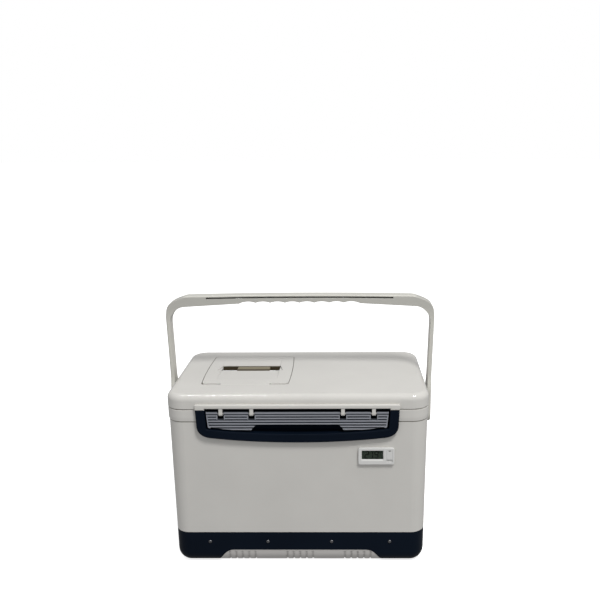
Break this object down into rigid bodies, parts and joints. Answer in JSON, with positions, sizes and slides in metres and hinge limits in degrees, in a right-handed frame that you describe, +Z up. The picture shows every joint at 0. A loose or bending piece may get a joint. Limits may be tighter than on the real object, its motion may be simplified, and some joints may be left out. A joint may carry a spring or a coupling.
{
  "type": "vaccine carrier",
  "caption": "Insulated hard-sided carrier with a hinged lid, an access hatch in the lid, a wide hinged latch, a swing handle and a panel thermometer.",
  "frame": {"origin": "centre of the underside of the base tray, on the surface it stands on", "axes": "+X to the right, +Y to the rear, +Z up; the latch and the thermometer look along -Y"},
  "size_m": [0.4108, 0.2332, 0.3932],
  "materials": {
    "ivory_shell": "smooth ivory white with a soft gloss",
    "navy_plastic": "smooth dark navy with a soft gloss",
    "blue_grey_lever": "ribbed dark blue grey",
    "grey_insert": "satin light grey",
    "taupe_paddle": "satin taupe",
    "pale_liner": "smooth pale lining",
    "insulating_foam": "poured rigid foam",
    "plain_steel": "plain bright steel",
    "white_pivot": "smooth pale plastic",
    "seal_rubber": "soft black rubber",
    "meter_case": "smooth white",
    "meter_lens": "clear window",
    "display_panel": "grey-green liquid crystal panel",
    "brown_cup": "satin dark brown"
  },
  "bodies": {
    "body": {"outer_shell": "ivory_shell", "foam_core": "insulating_foam", "inner_liner": "pale_liner", "rim_collar": "ivory_shell", "base_skirt": "navy_plastic", "foot_rail_front": "grey_insert", "foot_rail_rear": "grey_insert", "base_screws": "plain_steel", "latch_frame": "navy_plastic", "lid_hinge_pin_left": "plain_steel", "lid_hinge_pin_right": "plain_steel", "handle_pivot_pin_left": "white_pivot", "handle_pivot_pin_right": "white_pivot", "pivot_washer_left": "white_pivot", "pivot_washer_right": "white_pivot", "thermometer_bezel": "meter_case", "thermometer_module": "meter_case", "thermometer_lens": "meter_lens", "thermometer_display": "display_panel", "button_cell": "plain_steel", "sensor_probe": "plain_steel", "sensor_sleeve": "seal_rubber"},
    "lid": {"lid_shell": "ivory_shell", "lid_foam": "insulating_foam", "lid_liner": "pale_liner", "lid_gasket": "seal_rubber", "latch_lever_pin": "plain_steel", "hatch_pin_left": "plain_steel", "hatch_pin_right": "plain_steel"},
    "latch_lever": {"latch_lever": "blue_grey_lever"},
    "hatch": {"hatch_cover": "ivory_shell", "hatch_foam": "insulating_foam", "hatch_liner": "pale_liner", "hatch_gasket": "seal_rubber", "grip_cup": "brown_cup", "grip_axle": "plain_steel"},
    "grip_rocker": {"grip_rocker": "taupe_paddle"},
    "handle": {"handle_bail": "ivory_shell"},
    "battery_door": {"battery_door": "meter_case"}
  },
  "joints": [
    {"name": "lid_hinge", "type": "hinge", "parent": "body", "child": "lid", "pos_m": [0, 0.11455, 0.245], "axis": [-1, 0, 0], "range_deg": [0, 36]},
    {"name": "latch_lever_hinge", "type": "hinge", "parent": "lid", "child": "latch_lever", "pos_m": [0, -0.10965, 0.2419], "axis": [-1, 0, 0], "range_deg": [0, 75]},
    {"name": "hatch_hinge", "type": "hinge", "parent": "lid", "child": "hatch", "pos_m": [-0.08055, -0.0615, 0.2647], "axis": [1, 0, 0], "range_deg": [0, 52]},
    {"name": "grip_rocker_pivot", "type": "hinge", "parent": "hatch", "child": "grip_rocker", "pos_m": [-0.0766, 0.0174, 0.263], "axis": [1, 0, 0], "range_deg": [0, 18], "stiffness_Nm_per_rad": 0.05, "springref_deg": -11.46},
    {"name": "handle_swing", "type": "hinge", "parent": "body", "child": "handle", "pos_m": [0, 0, 0.203], "axis": [1, 0, 0], "range_deg": [-135, 135]},
    {"name": "battery_door_slide", "type": "slide", "parent": "body", "child": "battery_door", "axis": [0, 0, -1], "range_m": [0, 0.0036]}
  ]
}
